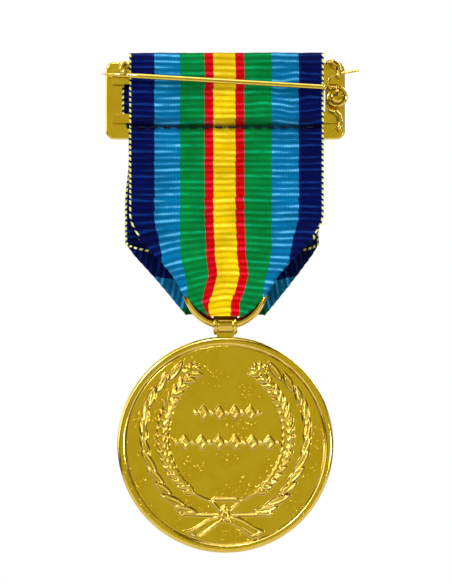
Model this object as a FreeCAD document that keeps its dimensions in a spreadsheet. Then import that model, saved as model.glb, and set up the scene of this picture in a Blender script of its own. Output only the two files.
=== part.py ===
import FreeCAD, Part
import math
import os
import Sketcher

# A military service medal hanging from its pin brooch. Millimetres, +Z up.
# The reverse, with the pin, faces -Y. The origin is the centre of the buckle
# on the plane in which the ribbon, ring and medal hang.

DIMENSIONS = {
    # buckle frame, a plate with a slot, in front of the ribbon
    "frame_width": 37.1,
    "frame_height": 12.0,
    "frame_thickness": 1.4,
    "frame_corner": 1.3,
    "frame_back": 1.55,
    "window_width": 31.0,
    "window_height": 3.7,
    "window_lift": 0.15,
    # flat carrier bar that the ribbon is looped over, and its four studs
    "carrier_width": 29.2,
    "carrier_thickness": 1.2,
    "carrier_top": 6.6,
    "carrier_foot": -3.6,
    "ear_reach": 17.5,
    "upper_ear_foot": 2.4,
    "upper_ear_top": 4.6,
    "lower_ear_top": -2.2,
    "stud_radius": 0.65,
    "stud_side": 16.75,
    # ribbon
    "ribbon_width": 30.0,
    "ribbon_thickness": 0.36,
    "layer_gap": 0.9,
    "front_gap": 1.25,
    "flap_gap": 0.84,
    "wrap_top": 7.3,
    "wrap_foot": -6.3,
    "swing_height": -6.7,
    "drop_start": -7.7,
    "shoulder_height": -22.3,
    "fold_foot_side": 6.3,
    "fold_foot_height": -32.9,
    "taper_start": -17.6,
    "taper_bend": 9.0,
    "neck_side": 6.3,
    "neck_height": -29.6,
    "flap_inner_side": 0.4,
    # ring and the arc that the gathered ribbon takes inside it
    "ring_height": -28.75,
    "ring_mean_radius": 6.02,
    "ring_wire_radius": 0.7,
    "gather_radius": 4.0,
    "gather_thickness": 0.75,
    # suspension eye
    "eye_height": -34.66,
    "eye_half_width": 1.83,
    "eye_bore_radius": 1.03,
    "eye_band_radius": 1.48,
    "eye_rim_radius": 1.68,
    "eye_rim_round": 0.13,
    "neck_thickness": 1.7,
    # disc
    "disc_radius": 16.7,
    "disc_height": -53.3,
    "field_half": 0.75,
    "rim_half": 1.1,
    "rim_width": 1.25,
    "rim_slope": 0.3,
    "seat_flat": 16.6,
    # pin
    "needle_radius": 0.4,
    "needle_slope": 3.4,
    "needle_straight": 28.9,
    "needle_length": 34.6,
    "point_length": 2.0,
    "knuckle_radius": 0.5,
    "pin_depth": -2.6,
    "pivot_side": 15.3,
    "pivot_height": 1.81,
    # spring and its post
    "coil_side": 17.2,
    "coil_height": 0.4,
    "coil_radius": 1.3,
    "coil_pitch": 0.9,
    "coil_turns": 1.75,
    "spring_wire": 0.33,
    "tail_wire": 0.2,
    "post_radius": 0.75,
    "post_head_radius": 1.0,
    "post_head_height": 0.7,
    "post_head_gap": 0.4,
    # hooks
    "hook_wire": 0.36,
    "hook_ball": 0.46,
    # seam
    "seam_height": -4.3,
    "stitch_length": 1.1,
    "stitch_pitch": 2.0,
    "stitch_radius": 0.12,
    # small allowances
    "layer_clearance": 0.02,
    "neck_clearance": 0.12,
    "neck_overlap": 0.2,
}

# Bends of the wire hooks and of the spring's tail, each (across, depth, up).
CATCH_ROOT = (-15.55, 5.5)
CATCH_BENDS = [(-15.55, -2.95, 5.5), (-15.95, -3.45, 5.1), (-16.05, -3.55, 4.6)]
CATCH_END = (-15.6, -3.55, 4.1)
UPPER_KEEPER_ROOT = (15.85, 5.7)
UPPER_KEEPER_BENDS = [(15.85, -1.7, 5.7), (16.6, -2.25, 5.75), (17.3, -2.35, 5.2), (17.5, -2.35, 4.4)]
UPPER_KEEPER_END = (17.4, -2.35, 3.75)
LOWER_KEEPER_ROOT = (16.2, -1.65)
LOWER_KEEPER_BENDS = [(16.2, -1.7, -1.65), (16.9, -2.25, -1.95), (17.5, -2.35, -2.6), (17.7, -2.35, -3.5)]
LOWER_KEEPER_END = (17.55, -2.35, -4.3)
TAIL_BENDS = [(15.95, -1.075, 3.2), (17.2, -1.175, 3.9), (20.6, -1.325, 4.5)]
# A ball a little thicker than the wires that meet in it keeps the joint clean.
JOINT_BALL = 1.03

document = FreeCAD.newDocument("service_medal")
sheet = document.addObject("Spreadsheet::Sheet", "dims")
for row, (alias, size) in enumerate(DIMENSIONS.items(), start=1):
    sheet.set(f"A{row}", alias)
    sheet.set(f"B{row}", str(size))
    sheet.setAlias(f"B{row}", alias)
document.recompute()

X_AXIS = FreeCAD.Vector(1, 0, 0)
Y_AXIS = FreeCAD.Vector(0, 1, 0)
sub_parts = []


def size(expression):
    """The number that an expression in the sheet's dimensions stands for."""
    return float(sheet.evalExpression(expression))


def name_part(part, label):
    """Give a finished sub-part its name and list it for writing out."""
    part.Label = label
    sub_parts.append(part)


def place(part, x="0", y="0", z="0", axis=X_AXIS, angle="0"):
    """Bind a sub-part's placement to expressions in the sheet."""
    turn = FreeCAD.Rotation(axis, size(angle))
    part.Placement = FreeCAD.Placement(FreeCAD.Vector(size(x), size(y), size(z)), turn)
    part.setExpression("Placement.Base.x", x)
    part.setExpression("Placement.Base.y", y)
    part.setExpression("Placement.Base.z", z)


def new_body(name):
    return document.addObject("PartDesign::Body", name)


def polygon_sketch(body, role, corners):
    """A closed outline on one of the body's own planes, each corner held by two expressions."""
    sketch = body.newObject("Sketcher::SketchObject", body.Name + "_outline")
    plane = [feature for feature in body.Origin.OriginFeatures if feature.Role == role][0]
    sketch.AttachmentSupport = [(plane, "")]
    sketch.MapMode = "FlatFace"
    points = [FreeCAD.Vector(size(across), size(up), 0) for across, up in corners]
    count = len(points)
    for i in range(count):
        sketch.addGeometry(Part.LineSegment(points[i], points[(i + 1) % count]))
    for i in range(count):
        sketch.addConstraint(Sketcher.Constraint("Coincident", i, 2, (i + 1) % count, 1))
    for i, corner in enumerate(corners):
        for kind, value, expression in zip(("DistanceX", "DistanceY"), points[i], corner):
            if abs(value) < 1e-9:
                line = -2 if kind == "DistanceX" else -1
                sketch.addConstraint(Sketcher.Constraint("PointOnObject", i, 1, line))
                continue
            index = sketch.addConstraint(Sketcher.Constraint(kind, -1, 1, i, 1, value))
            sketch.setExpression(f"Constraints[{index}]", expression)
    document.recompute()
    return sketch


def pad(body, sketch, thickness):
    """Thicken an outline into a plate by an expression's length."""
    feature = body.newObject("PartDesign::Pad", body.Name + "_pad")
    feature.Profile = sketch
    feature.setExpression("Length", thickness)
    document.recompute()
    return feature


def revolve(body, sketch, axis_name):
    feature = body.newObject("PartDesign::Revolution", body.Name + "_revolution")
    feature.Profile = sketch
    feature.ReferenceAxis = (sketch, [axis_name])
    feature.Angle = 360
    document.recompute()
    return feature


def pocket(body, sketch):
    """Cut an outline right through the body, both ways from its plane."""
    before = body.Shape.Volume
    feature = body.newObject("PartDesign::Pocket", body.Name + "_pocket")
    feature.Profile = sketch
    feature.Type = "ThroughAll"
    feature.Midplane = True
    document.recompute()
    if body.Shape.Volume >= before:
        raise RuntimeError(f"the pocket in {body.Name} cuts nothing")
    return feature


def fillet(body, base, is_wanted, radius):
    """Round the edges of a feature for which is_wanted(edge) is true."""
    names = [f"Edge{i}" for i, edge in enumerate(base.Shape.Edges, 1) if is_wanted(edge)]
    feature = body.newObject("PartDesign::Fillet", body.Name + "_fillet")
    feature.Base = (base, names)
    feature.setExpression("Radius", radius)
    document.recompute()
    return feature


def runs_along(edge, direction):
    if edge.Curve.TypeId != "Part::GeomLine":
        return False
    return abs(edge.Curve.Direction.dot(direction)) > 0.999


def mirrored_outline(half):
    """A closed outline from its right half, listed from top to bottom."""
    left = [(f"-({x})", z) for x, z in half]
    return left[::-1] + half


def wire_solid(points, radius):
    """A bent round wire: a cylinder along each run and a ball at each bend."""
    corners = [FreeCAD.Vector(*point) for point in points]
    solid = None
    for start, end in zip(corners, corners[1:]):
        run = end - start
        piece = Part.makeCylinder(radius, run.Length, start, run)
        solid = piece if solid is None else solid.fuse(piece)
    for corner in corners[1:-1]:
        solid = solid.fuse(Part.makeSphere(radius, corner))
    return solid


def add_shape(name, shape):
    feature = document.addObject("Part::Feature", name)
    feature.Shape = shape
    feature.Placement = FreeCAD.Placement()
    name_part(feature, name)


# ---- brooch ----------------------------------------------------------------


def make_buckle_frame():
    """Slotted rectangular plate with rounded corners and a softened edge."""
    body = new_body("Frame")
    half = [("dims.frame_width / 2", "dims.frame_height / 2")]
    half.append(("dims.frame_width / 2", "-dims.frame_height / 2"))
    plate = pad(body, polygon_sketch(body, "XZ_Plane", mirrored_outline(half)), "dims.frame_thickness")
    fillet(body, plate, lambda edge: runs_along(edge, Y_AXIS), "dims.frame_corner")
    top = "dims.window_lift + dims.window_height / 2"
    foot = "dims.window_lift - dims.window_height / 2"
    slot = [("dims.window_width / 2", top), ("dims.window_width / 2", foot)]
    pocket(body, polygon_sketch(body, "XZ_Plane", mirrored_outline(slot)))
    reach = size("dims.frame_width / 2 - dims.frame_corner")

    def is_outer(edge):
        centre = edge.CenterOfMass
        on_face = abs(centre.y) < 1e-6 or abs(centre.y + size("dims.frame_thickness")) < 1e-6
        outside = abs(centre.x) > reach or abs(centre.z) > size("dims.window_height")
        return on_face and outside

    fillet(body, body.Tip, is_outer, "dims.frame_thickness / 5")
    place(body, y="dims.frame_back + dims.frame_thickness")
    name_part(body, "buckle_frame")


def make_ribbon_carrier():
    """Flat bar inside the ribbon's loop, with two ears at each end."""
    body = new_body("Carrier")
    inner = "dims.carrier_width / 2"
    half = [
        (inner, "dims.carrier_top"),
        (inner, "dims.upper_ear_top"),
        ("dims.ear_reach", "dims.upper_ear_top"),
        ("dims.ear_reach", "dims.upper_ear_foot"),
        (inner, "dims.upper_ear_foot"),
        (inner, "dims.lower_ear_top"),
        ("dims.ear_reach", "dims.lower_ear_top"),
        ("dims.ear_reach", "dims.carrier_foot"),
    ]
    pad(body, polygon_sketch(body, "XZ_Plane", mirrored_outline(half)), "dims.carrier_thickness")
    place(body, y="dims.carrier_thickness / 2")
    name_part(body, "ribbon_carrier")


def make_carrier_studs():
    """Four short studs between the carrier's ears and the back of the buckle."""
    upper = "(dims.upper_ear_top + dims.upper_ear_foot) / 2"
    lower = "(dims.lower_ear_top + dims.carrier_foot) / 2"
    studs = []
    for side in ("dims.stud_side", "-dims.stud_side"):
        for height in (upper, lower):
            stud = document.addObject("Part::Cylinder", "Stud")
            stud.setExpression("Radius", "dims.stud_radius")
            stud.setExpression("Height", "dims.frame_back - dims.carrier_thickness / 2")
            place(stud, x=side, y="dims.frame_back", z=height, angle="90")
            studs.append(stud)
    group = document.addObject("Part::Compound", "Studs")
    group.Links = studs
    document.recompute()
    name_part(group, "carrier_studs")


def make_hook(name, root, bends, end):
    """A wire hook: a straight post from the buckle's back, a bent arm and a ball end."""
    side, height = root
    post = [(side, size("dims.frame_back"), height)]
    arm = wire_solid(post + bends + [end], size("dims.hook_wire"))
    ball = Part.makeSphere(size("dims.hook_ball"), FreeCAD.Vector(*end))
    add_shape(name, arm.fuse(ball))


def make_hooks():
    """The catch that holds the point, and two keepers beside the spring."""
    make_hook("catch_hook", CATCH_ROOT, CATCH_BENDS, CATCH_END)
    make_hook("upper_keeper", UPPER_KEEPER_ROOT, UPPER_KEEPER_BENDS, UPPER_KEEPER_END)
    make_hook("lower_keeper", LOWER_KEEPER_ROOT, LOWER_KEEPER_BENDS, LOWER_KEEPER_END)


def make_pivot_post():
    """Rivet through the spring's coil, with a domed head."""
    body = new_body("Post")
    shank = "dims.post_radius"
    head = "dims.post_head_radius"
    foot = "dims.frame_back"
    collar = "dims.pin_depth - dims.post_head_gap"
    outline = [
        ("0", foot),
        (shank, foot),
        (shank, collar),
        (head, collar),
        (head, f"{collar} - dims.post_head_height * 0.35"),
        (f"{head} * 0.7", f"{collar} - dims.post_head_height * 0.8"),
        ("0", f"{collar} - dims.post_head_height"),
    ]
    revolve(body, polygon_sketch(body, "XY_Plane", outline), "V_Axis")
    place(body, x="dims.coil_side", z="dims.coil_height")
    name_part(body, "pivot_post")


def make_spring_coil():
    """Spring wire: a coil round the post, a neck towards the needle and a free tail."""
    radius = size("dims.coil_radius")
    wire = size("dims.spring_wire")
    side = size("dims.coil_side")
    height = size("dims.coil_height")
    outer = size("dims.pin_depth")
    rise = size("dims.coil_pitch * dims.coil_turns")
    base = outer + rise
    helix = Part.makeHelix(size("dims.coil_pitch"), rise, radius)
    start_direction = helix.Edges[0].tangentAt(helix.Edges[0].FirstParameter)
    section = Part.makeCircle(wire, FreeCAD.Vector(radius, 0, 0), start_direction)
    coil = Part.Wire(helix).makePipeShell([Part.Wire(section)], True, True)
    coil.rotate(FreeCAD.Vector(), FreeCAD.Vector(0, 0, 1), 180)
    coil.rotate(FreeCAD.Vector(), X_AXIS, 90)
    coil.translate(FreeCAD.Vector(side, base, height))
    slope = math.tan(math.radians(size("dims.needle_slope")))
    neck_end = size("dims.pivot_side + dims.knuckle_radius + dims.neck_clearance")
    top = height + radius
    neck_rise = (side - neck_end) * slope
    neck = wire_solid([(side, outer, top), (neck_end, outer, top + neck_rise)], wire * 0.8)
    tail_start = (side - radius, base, height)
    tail = wire_solid([tail_start] + TAIL_BENDS, size("dims.tail_wire"))
    solid = coil.fuse(neck).fuse(tail)
    for joint in (tail_start, (side, outer, top)):
        solid = solid.fuse(Part.makeSphere(wire * JOINT_BALL, FreeCAD.Vector(*joint)))
    add_shape("spring_coil", solid)


def make_pin_needle():
    """Straight needle with a ball knuckle at its root and a tapered point."""
    body = new_body("Needle")
    shank = "dims.needle_radius"
    outline = [
        ("0", "0"),
        ("0", shank),
        ("-dims.needle_straight", shank),
        ("-dims.needle_length + dims.point_length", f"{shank} * 0.6"),
        ("-dims.needle_length", f"{shank} * 0.08"),
        ("-dims.needle_length", "0"),
    ]
    revolve(body, polygon_sketch(body, "XZ_Plane", outline), "H_Axis")
    knuckle = body.newObject("PartDesign::AdditiveSphere", "Knuckle")
    knuckle.setExpression("Radius", "dims.knuckle_radius")
    document.recompute()
    place(
        body,
        x="dims.pivot_side",
        y="dims.pin_depth",
        z="dims.pivot_height",
        axis=Y_AXIS,
        angle="dims.needle_slope",
    )
    name_part(body, "pin_needle")


# ---- ribbon ----------------------------------------------------------------


def make_ribbon_wrap():
    """The stretch of ribbon looped over the carrier, open at its sides and below."""
    body = new_body("Wrap")
    outer = "dims.layer_gap + dims.ribbon_thickness"
    crown = "dims.wrap_top - dims.ribbon_thickness"
    half = [
        ("dims.layer_gap", crown),
        ("dims.layer_gap", "dims.wrap_foot"),
        (outer, "dims.wrap_foot"),
        (outer, "dims.wrap_top"),
    ]
    loop = pad(body, polygon_sketch(body, "YZ_Plane", mirrored_outline(half)), "dims.ribbon_width")

    def is_crown(edge):
        return runs_along(edge, X_AXIS) and edge.CenterOfMass.z > size(crown) + 0.01

    fillet(body, loop, is_crown, "dims.ribbon_thickness * 2")
    place(body, x="-dims.ribbon_width / 2")
    name_part(body, "ribbon_wrap")


def make_seam_stitches():
    """The row of thread that sews the loop shut under the carrier."""
    radius = size("dims.stitch_radius")
    length = size("dims.stitch_length")
    pitch = size("dims.stitch_pitch")
    face = -size("dims.layer_gap + dims.ribbon_thickness + dims.layer_clearance") - radius
    count = int(size("dims.ribbon_width") / pitch) - 1
    stitches = []
    for i in range(count):
        middle = (i - (count - 1) / 2) * pitch
        start = FreeCAD.Vector(middle - length / 2, face, size("dims.seam_height"))
        stitches.append(Part.makeCylinder(radius, length, start, X_AXIS))
    add_shape("seam_stitches", Part.makeCompound(stitches))


def gather_point(degrees):
    """A point of the gathered ribbon inside the ring, by its angle from straight down."""
    across = f"dims.gather_radius * sin({degrees} deg)"
    up = f"dims.ring_height - dims.gather_radius * cos({degrees} deg)"
    return across, up


def gather_corners():
    return [gather_point(52), gather_point(26)]


def make_ribbon_back():
    """The layer nearer the pin: full width, then tapering into the ring."""
    body = new_body("Back")
    half = [
        ("dims.ribbon_width / 2", "dims.drop_start"),
        ("dims.ribbon_width / 2", "dims.taper_start"),
        ("dims.neck_side", "dims.neck_height"),
    ] + gather_corners()
    outline = polygon_sketch(body, "XZ_Plane", mirrored_outline(half))
    layer = pad(body, outline, "dims.ribbon_thickness")

    def is_taper_start(edge):
        near = abs(edge.CenterOfMass.z - size("dims.taper_start")) < 0.01
        return near and runs_along(edge, Y_AXIS)

    fillet(body, layer, is_taper_start, "dims.taper_bend")
    place(body, y="-dims.layer_gap")
    name_part(body, "ribbon_back")


def make_ribbon_front():
    """The layer behind, a pentagon whose lower corners are folded back."""
    body = new_body("Front")
    half = [
        ("dims.ribbon_width / 2", "dims.drop_start"),
        ("dims.ribbon_width / 2", "dims.shoulder_height"),
        ("dims.fold_foot_side", "dims.fold_foot_height"),
    ] + gather_corners()
    outline = polygon_sketch(body, "XZ_Plane", mirrored_outline(half))
    pad(body, outline, "dims.ribbon_thickness")
    place(body, y="dims.front_gap + dims.ribbon_thickness")
    name_part(body, "ribbon_front")


def make_fold_flap(name, sign):
    """A folded-back corner. Its selvage is the ribbon's edge mirrored in the fold line."""
    run = "dims.ribbon_width / 2 - dims.fold_foot_side"
    fall = "dims.shoulder_height - dims.fold_foot_height"
    selvage_angle = f"2 * atan(({run}) / ({fall})) - 90 deg"
    reach = "dims.ribbon_width / 2 - dims.flap_inner_side"
    inner_height = f"dims.shoulder_height + ({reach}) * tan({selvage_angle})"
    gather_side, gather_height = gather_point(52)
    low_side, low_height = gather_point(26)
    corners = [
        ("dims.ribbon_width / 2", "dims.shoulder_height"),
        ("dims.fold_foot_side", "dims.fold_foot_height"),
        (gather_side, gather_height),
        (low_side, low_height),
        ("dims.flap_inner_side", low_height),
        ("dims.flap_inner_side", inner_height),
    ]
    body = new_body(name.title().replace("_", ""))
    outline = [(f"{sign} * ({x})", z) for x, z in corners]
    pad(body, polygon_sketch(body, "XZ_Plane", outline), "dims.ribbon_thickness")
    place(body, y="dims.flap_gap + dims.ribbon_thickness")
    name_part(body, name)


def make_ring_loop():
    """The gathered bight of ribbon that passes through the ring."""
    body = new_body("Bight")
    inner = "(dims.gather_radius - dims.gather_thickness) / dims.gather_radius"
    low_side, low_height = gather_point(26)
    side, height = gather_point(52)
    half = [
        (f"({low_side}) * {inner}", f"dims.ring_height + ({low_height} - dims.ring_height) * {inner}"),
        (f"({side}) * {inner}", f"dims.ring_height + ({height} - dims.ring_height) * {inner}"),
        (side, height),
        (low_side, low_height),
    ]
    outline = polygon_sketch(body, "XZ_Plane", mirrored_outline(half))
    pad(body, outline, "dims.layer_gap + dims.flap_gap - 2 * dims.layer_clearance")
    place(body, y="dims.flap_gap - dims.layer_clearance")
    name_part(body, "ring_loop")


# ---- ring and medal --------------------------------------------------------


def make_suspension_ring():
    """Closed ring of round wire."""
    ring = document.addObject("Part::Torus", "Ring")
    ring.setExpression("Radius1", "dims.ring_mean_radius")
    ring.setExpression("Radius2", "dims.ring_wire_radius")
    place(ring, z="dims.ring_height", angle="90")
    document.recompute()
    name_part(ring, "suspension_ring")


def make_suspension_eye():
    """Channelled barrel round the ring's wire, on a neck that stands on the disc."""
    body = new_body("Eye")
    width = "dims.eye_half_width"
    rim = "dims.eye_rim_radius"
    band = "dims.eye_band_radius"
    half = [
        (f"{width} * 0.6", band),
        (f"{width} * 0.72", f"{rim} - dims.eye_rim_round / 3"),
        (f"{width} * 0.88", rim),
        (width, f"{rim} - dims.eye_rim_round"),
        (width, "dims.eye_bore_radius"),
    ]
    revolve(body, polygon_sketch(body, "XZ_Plane", mirrored_outline(half)), "H_Axis")
    foot = "dims.disc_height + dims.seat_flat - dims.eye_height"
    neck_top = "dims.neck_overlap - dims.eye_band_radius"
    sketch = polygon_sketch(
        body, "XZ_Plane", mirrored_outline([(f"{width} * 0.8", neck_top), (f"{width} * 0.68", foot)])
    )
    neck = pad(body, sketch, "dims.neck_thickness")
    neck.Midplane = True
    document.recompute()
    place(body, z="dims.eye_height")
    name_part(body, "suspension_eye")


def make_medal_disc():
    """Struck disc: a raised rim on both faces and a flat on top for the eye."""
    body = new_body("Disc")
    rim_inner = "dims.disc_radius - dims.rim_width"
    half = [
        (f"{rim_inner} - dims.rim_slope", "dims.field_half"),
        (rim_inner, "dims.rim_half"),
        ("dims.disc_radius - dims.rim_slope", "dims.rim_half"),
        ("dims.disc_radius", "dims.rim_half - dims.rim_slope"),
    ]
    lower = [(x, f"-({y})") for x, y in half]
    outline = [("0", "-dims.field_half")] + lower + half[::-1] + [("0", "dims.field_half")]
    revolve(body, polygon_sketch(body, "XY_Plane", outline), "V_Axis")
    seat = [("dims.eye_half_width", "dims.disc_radius * 1.1"), ("dims.eye_half_width", "dims.seat_flat")]
    pocket(body, polygon_sketch(body, "XZ_Plane", mirrored_outline(seat)))
    place(body, z="dims.disc_height")
    name_part(body, "medal_disc")


make_buckle_frame()
make_ribbon_carrier()
make_carrier_studs()
make_hooks()
make_pivot_post()
make_spring_coil()
make_pin_needle()
make_ribbon_wrap()
make_seam_stitches()
make_ribbon_back()
make_ribbon_front()
make_fold_flap("left_fold_flap", -1)
make_fold_flap("right_fold_flap", 1)
make_ring_loop()
make_suspension_ring()
make_suspension_eye()
make_medal_disc()
document.recompute()

for item in document.Objects:
    if "Invalid" in item.State or "Error" in item.State:
        raise RuntimeError(f"{item.Label} failed: {item.State}")
for part in sub_parts:
    if part.Shape.isNull() or not part.Shape.isValid():
        raise RuntimeError(f"{part.Label} has no valid shape")

os.makedirs("parts", exist_ok=True)
for part in sub_parts:
    part.Shape.exportStep(f"parts/{part.Label}.step")
    print(part.Label, round(part.Shape.Volume, 3), "mm3")
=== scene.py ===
"""A service medal on a folded ribbon, hung from a pin-back brooch: the looks, in Blender."""
import math

import bmesh
import bpy
import numpy as np
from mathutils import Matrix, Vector


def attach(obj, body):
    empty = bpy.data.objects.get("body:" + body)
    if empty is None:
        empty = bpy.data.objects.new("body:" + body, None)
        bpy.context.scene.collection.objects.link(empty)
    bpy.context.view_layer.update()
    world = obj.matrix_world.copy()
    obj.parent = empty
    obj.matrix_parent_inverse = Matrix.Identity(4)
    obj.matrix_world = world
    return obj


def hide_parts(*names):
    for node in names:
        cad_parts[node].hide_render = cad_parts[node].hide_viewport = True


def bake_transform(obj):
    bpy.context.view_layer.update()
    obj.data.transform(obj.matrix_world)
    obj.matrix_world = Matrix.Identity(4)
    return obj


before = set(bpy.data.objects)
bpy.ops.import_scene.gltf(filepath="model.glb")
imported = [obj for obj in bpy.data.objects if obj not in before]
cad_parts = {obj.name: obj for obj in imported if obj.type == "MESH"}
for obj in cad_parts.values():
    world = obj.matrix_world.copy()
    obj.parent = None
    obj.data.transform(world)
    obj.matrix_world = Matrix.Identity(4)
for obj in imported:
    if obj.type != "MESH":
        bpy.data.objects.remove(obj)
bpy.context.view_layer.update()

# Lengths are in millimetres here, and turned to metres where a mesh is made.
MM = 0.001

# ---------------------------------------------------------------- ribbon
RIBBON_HALF = 15.0  # half the ribbon's width
RIBBON_CORE = 0.105  # half its thickness between the ribs
RIB_HEIGHT = 0.09  # how far a rib stands out on either face
RIB_PITCH = 0.94
ROWS_PER_RIB = 6
SELVAGE = 0.19  # the width of the dashed edge
DASH_PITCH = 0.9 * RIB_PITCH
DASH_SLANT = 4.0  # how far a dash turns, in radians, for each millimetre across
LAYER = 1.08  # how far each layer hangs from the middle plane
BACK_BULGE = 0.82  # how much further the back layer stands out over the ring
FRONT_BULGE = 0.77
FRONT_SET_BACK = 0.35  # how much further out the front layer hangs below the bar
CROWN_TOP = 7.12  # the highest line of the cloth, over the bar
CROWN_BEND = 0.9
SEAM_HEIGHT = -4.3
BACK_FOOT = -33.4
FRONT_FOOT = -33.3
ROLL = 0.2  # the radius of a turned-under edge
SHOULDER = (15.0, -22.3)  # the folded corner of the front layer, across and up, at its top
FLAP_FOOT = (6.3, -32.9)  # and at its foot
PANEL_COLUMNS = 31
ROLL_COLUMNS = 7
MARGIN_COLUMNS = 5

# ---------------------------------------------------------------- ring and medal
RING_CENTRE = -28.75
RING_MEAN = 6.02
RING_WIRE = 0.7
EYE_ARC = 5.91  # how far the eye's axis hangs below the ring's centre
EYE_RADIUS = 1.68
EYE_ROOM = 0.35  # the gap left between the cloth and the eye's path
DISC_CENTRE = -53.3
DISC_RADIUS = 16.7
FIELD_RADIUS = 15.3
FIELD_DEPTH = 0.75  # half the thickness at the field
RELIEF_SCALE = 1.2  # the heights below are drawn before they are struck this much higher
CAP_DEPTH = 0.45  # how far behind the disc's middle the reverse face's own mesh is closed
REVERSE_GRID = 301  # how many points lie across the grid of each face
OBVERSE_GRID = 221


# ================================================================ meshes

def add_mesh(name, vertices, faces, material, smooth=True):
    """One object from points in millimetres."""
    mesh = bpy.data.meshes.new(name)
    mesh.from_pydata((np.asarray(vertices) * MM).tolist(), [], faces)
    mesh.materials.append(material)
    mesh.polygons.foreach_set("use_smooth", [smooth] * len(mesh.polygons))
    piece = bpy.data.objects.new(name, mesh)
    bpy.context.scene.collection.objects.link(piece)
    return piece


def set_attribute(piece, name, values):
    """Gives each point a number that a material can read."""
    attribute = piece.data.attributes.new(name, "FLOAT", "POINT")
    attribute.data.foreach_set("value", values.astype(np.float32))


def outward(piece):
    """Turns every face of a closed mesh to look out."""
    mesh = bmesh.new()
    mesh.from_mesh(piece.data)
    bmesh.ops.recalc_face_normals(mesh, faces=mesh.faces)
    mesh.to_mesh(piece.data)
    mesh.free()


def grid_faces(rows, columns, start=0, flip=False):
    """The quads of a grid of points numbered row by row."""
    row = np.arange(rows - 1)[:, None] * columns
    corner = (row + np.arange(columns - 1)[None, :] + start).ravel()
    quads = np.stack([corner, corner + 1, corner + columns + 1, corner + columns], axis=1)
    if flip:
        quads = quads[:, ::-1]
    return quads.tolist()


def step(value, low, high):
    """0 below low, 1 above high, and a smooth rise between them."""
    t = np.clip((value - low) / (high - low), 0.0, 1.0)
    return t * t * (3.0 - 2.0 * t)


def bezier(corners, count=200):
    """Points along a cubic curve with four control points."""
    t = np.linspace(0.0, 1.0, count)[:, None]
    a, b, c, d = (np.asarray(corner, float) for corner in corners)
    return a * (1 - t) ** 3 + 3 * b * t * (1 - t) ** 2 + 3 * c * t * t * (1 - t) + d * t ** 3


# ================================================================ ribbon

def back_edge():
    """Heights and half-widths of the back layer's outline, from its foot up to its full width."""
    shield = bezier([(15.0, -17.6), (15.0, -21.5), (9.0, -24.5), (6.3, -29.8)])
    throat = bezier([(6.3, -29.8), (5.0, -30.6), (4.4, -32.2), (2.8, BACK_FOOT)])
    line = np.concatenate([shield, throat[1:]])[::-1]
    return line[:, 1], line[:, 0]


def back_depth(z):
    """How far back the back layer stands: it bulges over the ring, and the seam dents it."""
    bulge = BACK_BULGE * step(-z, 19.0, 28.0)
    dent = 0.24 * np.exp(-((z - SEAM_HEIGHT) / 0.26) ** 2)
    lip = 0.16 * np.exp(-((z - SEAM_HEIGHT - 0.85) / 0.5) ** 2)
    return -(LAYER + bulge - dent + lip)


def front_depth(z):
    """How far the front layer stands out: more below the bar, and more again over the ring."""
    return LAYER + FRONT_SET_BACK * step(-z, 5.5, 7.7) + FRONT_BULGE * step(-z, 22.0, 30.0)


def ribbon_line():
    """Evenly spaced points along the middle of the ribbon: length so far, side, depth and height."""
    centre = CROWN_TOP - CROWN_BEND
    reach = LAYER - CROWN_BEND
    turn = np.linspace(0.0, math.pi / 2, 24)
    up = np.arange(BACK_FOOT, centre, 0.02)
    rise = np.stack([back_depth(up), up], axis=1)
    first = np.stack([-reach - CROWN_BEND * np.cos(turn), centre + CROWN_BEND * np.sin(turn)], axis=1)
    second = np.stack([reach + CROWN_BEND * np.sin(turn), centre + CROWN_BEND * np.cos(turn)], axis=1)
    down = -np.arange(-centre, -FRONT_FOOT, 0.02)
    fall = np.stack([front_depth(down), down], axis=1)
    path = np.concatenate([rise, first, second, fall])
    length = np.concatenate([[0.0], np.cumsum(np.hypot(*np.diff(path, axis=0).T))])
    spacing = RIB_PITCH / ROWS_PER_RIB
    at = np.arange(0.0, length[-1], spacing)
    y = np.interp(at, length, path[:, 0])
    z = np.interp(at, length, path[:, 1])
    crown = length[len(rise) + len(first)]
    side = np.where(at < crown, -1.0, 1.0)
    return at, side, y, z


def rolled(beyond, curl, squeeze, fold):
    """How far past the start of a fold each point lies, and how deep it has turned under.

    beyond is the length of cloth past the start. curl is 1 for a full fold and less where it begins.
    squeeze shortens the cloth that lies flat beneath. fold is the radius of the turn."""
    radius = fold / curl
    angle = np.clip(beyond / radius, 0.0, math.pi)
    rest = np.maximum(beyond - math.pi * radius, 0.0)
    along = np.where(beyond > 0, radius * np.sin(angle) - rest * squeeze, 0.0)
    depth = np.where(beyond > 0, radius * (1.0 - np.cos(angle)), 0.0)
    return along, depth


def pinch(edge):
    """How much the outer stripe is squeezed before the edge starts to roll under."""
    return min(RIBBON_HALF - edge, 1.3)


def slide(side, z):
    """How far a layer lies to the right: the two aren't quite edge to edge below the crown."""
    back = 0.18 * step(z, -27.0, -17.0)
    if side < 0:
        return back
    below_crown = 1.0 - step(z, 2.5, 6.4)
    front = -0.55 * step(z, -30.0, -20.0) + 0.55 * step(z, -16.0, -9.0) - 1.0 * step(z, -5.0, -3.0)
    return back + below_crown * (front - back)


def rib_tilt(side, x, z):
    """How far the ribs run off level: down to the left by the ring, wavy beside the pin's root."""
    near_ring = step(-z, 15.0, 28.0)
    left = np.where(x < 0, 1.5, 0.35) * near_ring * (np.abs(x) / 8.0) ** 1.4
    pulled = step(x, 0.0, 9.0) * step(z, -6.0, -3.0) * (1.0 - step(z, 3.5, 6.5))
    waves = 0.20 * np.sin(0.8 * x + 0.5 * z) + 0.06 * np.sin(1.9 * x - 0.8 * z)
    wander = 0.10 * np.sin(0.45 * x + 0.21 * z) * np.sin(0.33 * z - 0.2 * x + 0.7)
    return wander + np.where(side < 0, left + pulled * waves, 0.0)


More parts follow.
